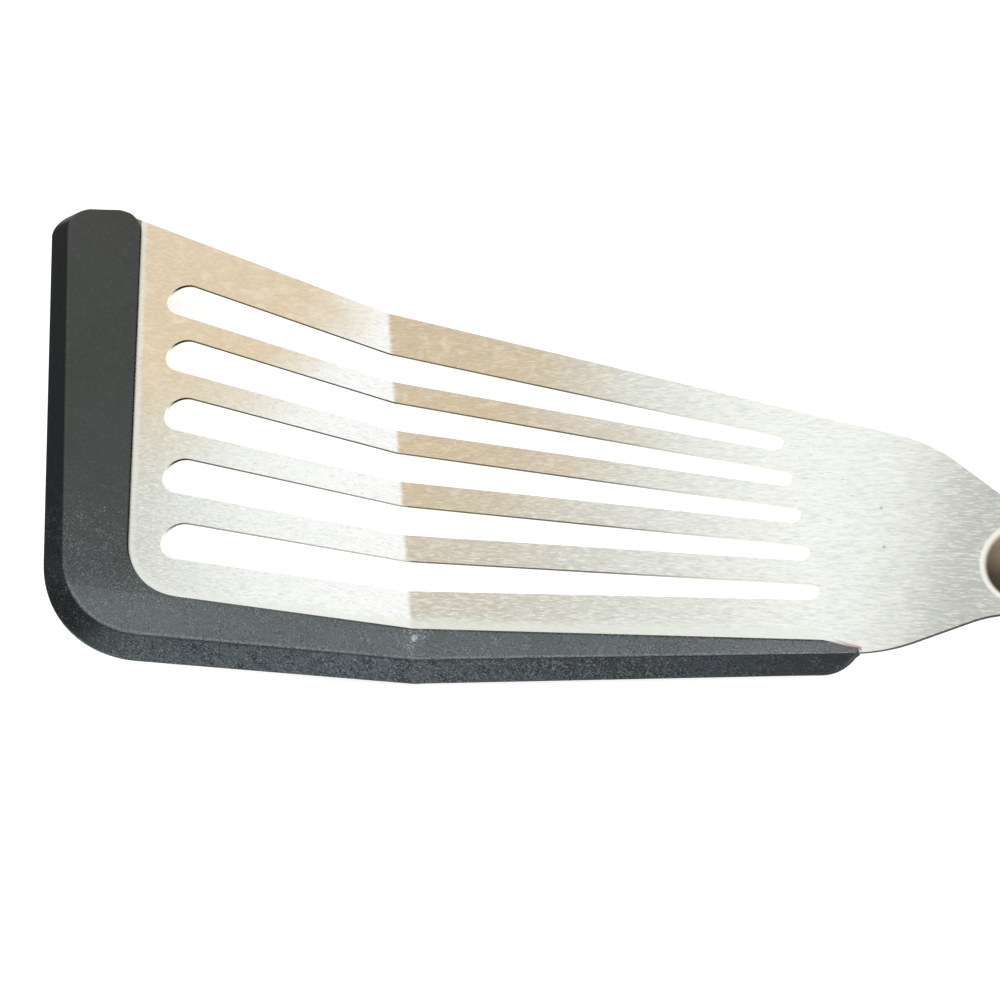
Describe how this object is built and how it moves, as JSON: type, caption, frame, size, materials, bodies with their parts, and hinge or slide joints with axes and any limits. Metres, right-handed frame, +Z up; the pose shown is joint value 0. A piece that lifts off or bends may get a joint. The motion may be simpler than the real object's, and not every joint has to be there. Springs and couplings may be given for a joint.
{
  "type": "slotted spatula",
  "caption": "Slotted cooking turner: an angled, creased steel head with a soft silicone scraping edge, and a riveted full-tang handle with a hanging hole.",
  "frame": {"origin": "centre of the bottom of the bounding box, with the turner lying face up on a table at z = 0", "axes": "+X along the turner from the head to the butt of the handle, +Z up from the table, +Y to the far side of the head"},
  "size_m": [0.3366, 0.079, 0.0157],
  "materials": {
    "blade_steel": "brushed along the length, lightly scratched",
    "silicone": "matte, dark grey, lightly worn on the ridge",
    "handle_plastic": "satin black",
    "rivet_steel": "polished flush"
  },
  "bodies": {
    "root": {"blade": "blade_steel", "silicone_edge": "silicone", "handle_scale_upper": "handle_plastic", "handle_scale_lower": "handle_plastic", "rivet_pin_front": "rivet_steel", "rivet_pin_middle": "rivet_steel", "rivet_pin_rear": "rivet_steel", "rivet_socket_front": "rivet_steel", "rivet_socket_middle": "rivet_steel", "rivet_socket_rear": "rivet_steel", "hanging_eyelet": "rivet_steel"}
  },
  "joints": []
}
